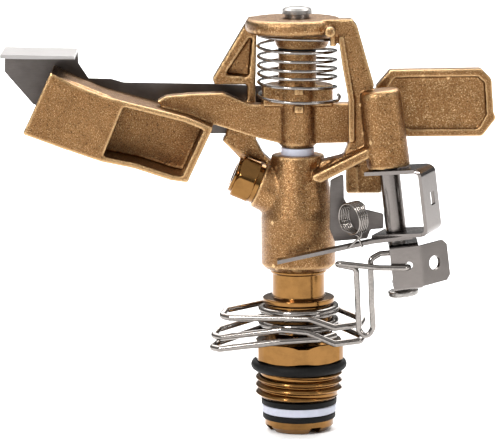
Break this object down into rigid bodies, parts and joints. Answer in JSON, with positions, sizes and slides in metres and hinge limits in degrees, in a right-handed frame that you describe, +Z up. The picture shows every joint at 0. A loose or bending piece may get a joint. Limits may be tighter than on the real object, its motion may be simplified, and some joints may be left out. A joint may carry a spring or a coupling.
{
  "type": "impact sprinkler",
  "caption": "Impact sprinkler for a threaded riser: cast rotor with angled nozzle, sprung swinging arm with spoon and counterweight, jet deflector and part-circle trip.",
  "frame": {"origin": "riser axis at the top end of the pipe thread", "axes": "+Z up along the riser; the arm lies along X with its spoon towards -X and its counterweight towards +X"},
  "size_m": [0.1183, 0.0289, 0.1032],
  "materials": {
    "cast_brass": "sand-cast, tumbled",
    "machined_brass": "machined",
    "stainless": "brushed sheet",
    "dark_stainless": "dull rolled sheet",
    "spring_wire": "bright drawn wire",
    "nickel": "satin nickel",
    "rubber": "moulded",
    "white_plastic": "moulded"
  },
  "bodies": {
    "riser_nipple": {"bearing_nipple": "machined_brass", "thread_o_ring": "rubber", "bearing_washer_upper": "rubber", "bearing_washer_middle": "white_plastic"},
    "rotor": {"bearing_tube": "machined_brass", "bearing_washer_lower": "rubber", "bearing_spring": "spring_wire", "spring_sleeve": "machined_brass", "sprinkler_body": "cast_brass", "nozzle": "machined_brass", "arm_washer_lower": "white_plastic", "arm_washer_upper": "rubber", "pivot_pin": "nickel", "arm_spring": "spring_wire", "deflector_rivet": "nickel", "deflector_washer": "stainless", "trip_pin": "nickel"},
    "arm": {"impact_arm": "cast_brass", "arm_bushing": "machined_brass"},
    "deflector": {"deflector_plate": "dark_stainless"},
    "trip_lever": {"trip_bracket": "stainless", "trip_plate": "dark_stainless", "trip_tube": "stainless", "trip_spring": "spring_wire"},
    "wire_lever": {"wire_bracket": "stainless"},
    "wire": {"trip_wire": "spring_wire"},
    "collar_upper": {"friction_collar_upper": "spring_wire"},
    "collar_lower": {"friction_collar_lower": "spring_wire"}
  },
  "joints": [
    {"name": "rotor_turn", "type": "hinge", "parent": "riser_nipple", "child": "rotor", "pos_m": [0, 0, 0], "axis": [0, 0, 1], "range_deg": [-90, 0]},
    {"name": "arm_swing", "type": "hinge", "parent": "rotor", "child": "arm", "pos_m": [0, 0, 0.06], "axis": [0, 0, 1], "range_deg": [0, 95], "stiffness_Nm_per_rad": 0.02, "springref_deg": -34.38},
    {"name": "deflector_tilt", "type": "hinge", "parent": "rotor", "child": "deflector", "pos_m": [-0.0132, 0, 0.0615], "axis": [0, -1, 0], "range_deg": [-10, 3]},
    {"name": "wire_toggle", "type": "hinge", "parent": "rotor", "child": "wire_lever", "pos_m": [0.0216, -0.0077, 0.051], "axis": [-0.1115, 0, 0.9938], "range_deg": [0, 12]},
    {"name": "trip_toggle", "type": "hinge", "parent": "rotor", "child": "trip_lever", "pos_m": [0.0216, -0.0077, 0.051], "axis": [-0.1115, 0, 0.9938], "range_deg": [0, 10]},
    {"name": "wire_flip", "type": "hinge", "parent": "wire_lever", "child": "wire", "pos_m": [0.017, -0.01465, 0.0277], "axis": [-1, 0, 0], "range_deg": [0, 80]},
    {"name": "collar_upper_turn", "type": "hinge", "parent": "riser_nipple", "child": "collar_upper", "pos_m": [0, 0, 0.015], "axis": [0, 0, 1], "range_deg": [0, 20]},
    {"name": "collar_lower_turn", "type": "hinge", "parent": "riser_nipple", "child": "collar_lower", "pos_m": [0, 0, 0.0105], "axis": [0, 0, 1], "range_deg": [0, 20]}
  ],
  "couplings": [
    {"joint": "trip_toggle", "follows": "wire_toggle", "ratio": 0.83}
  ]
}
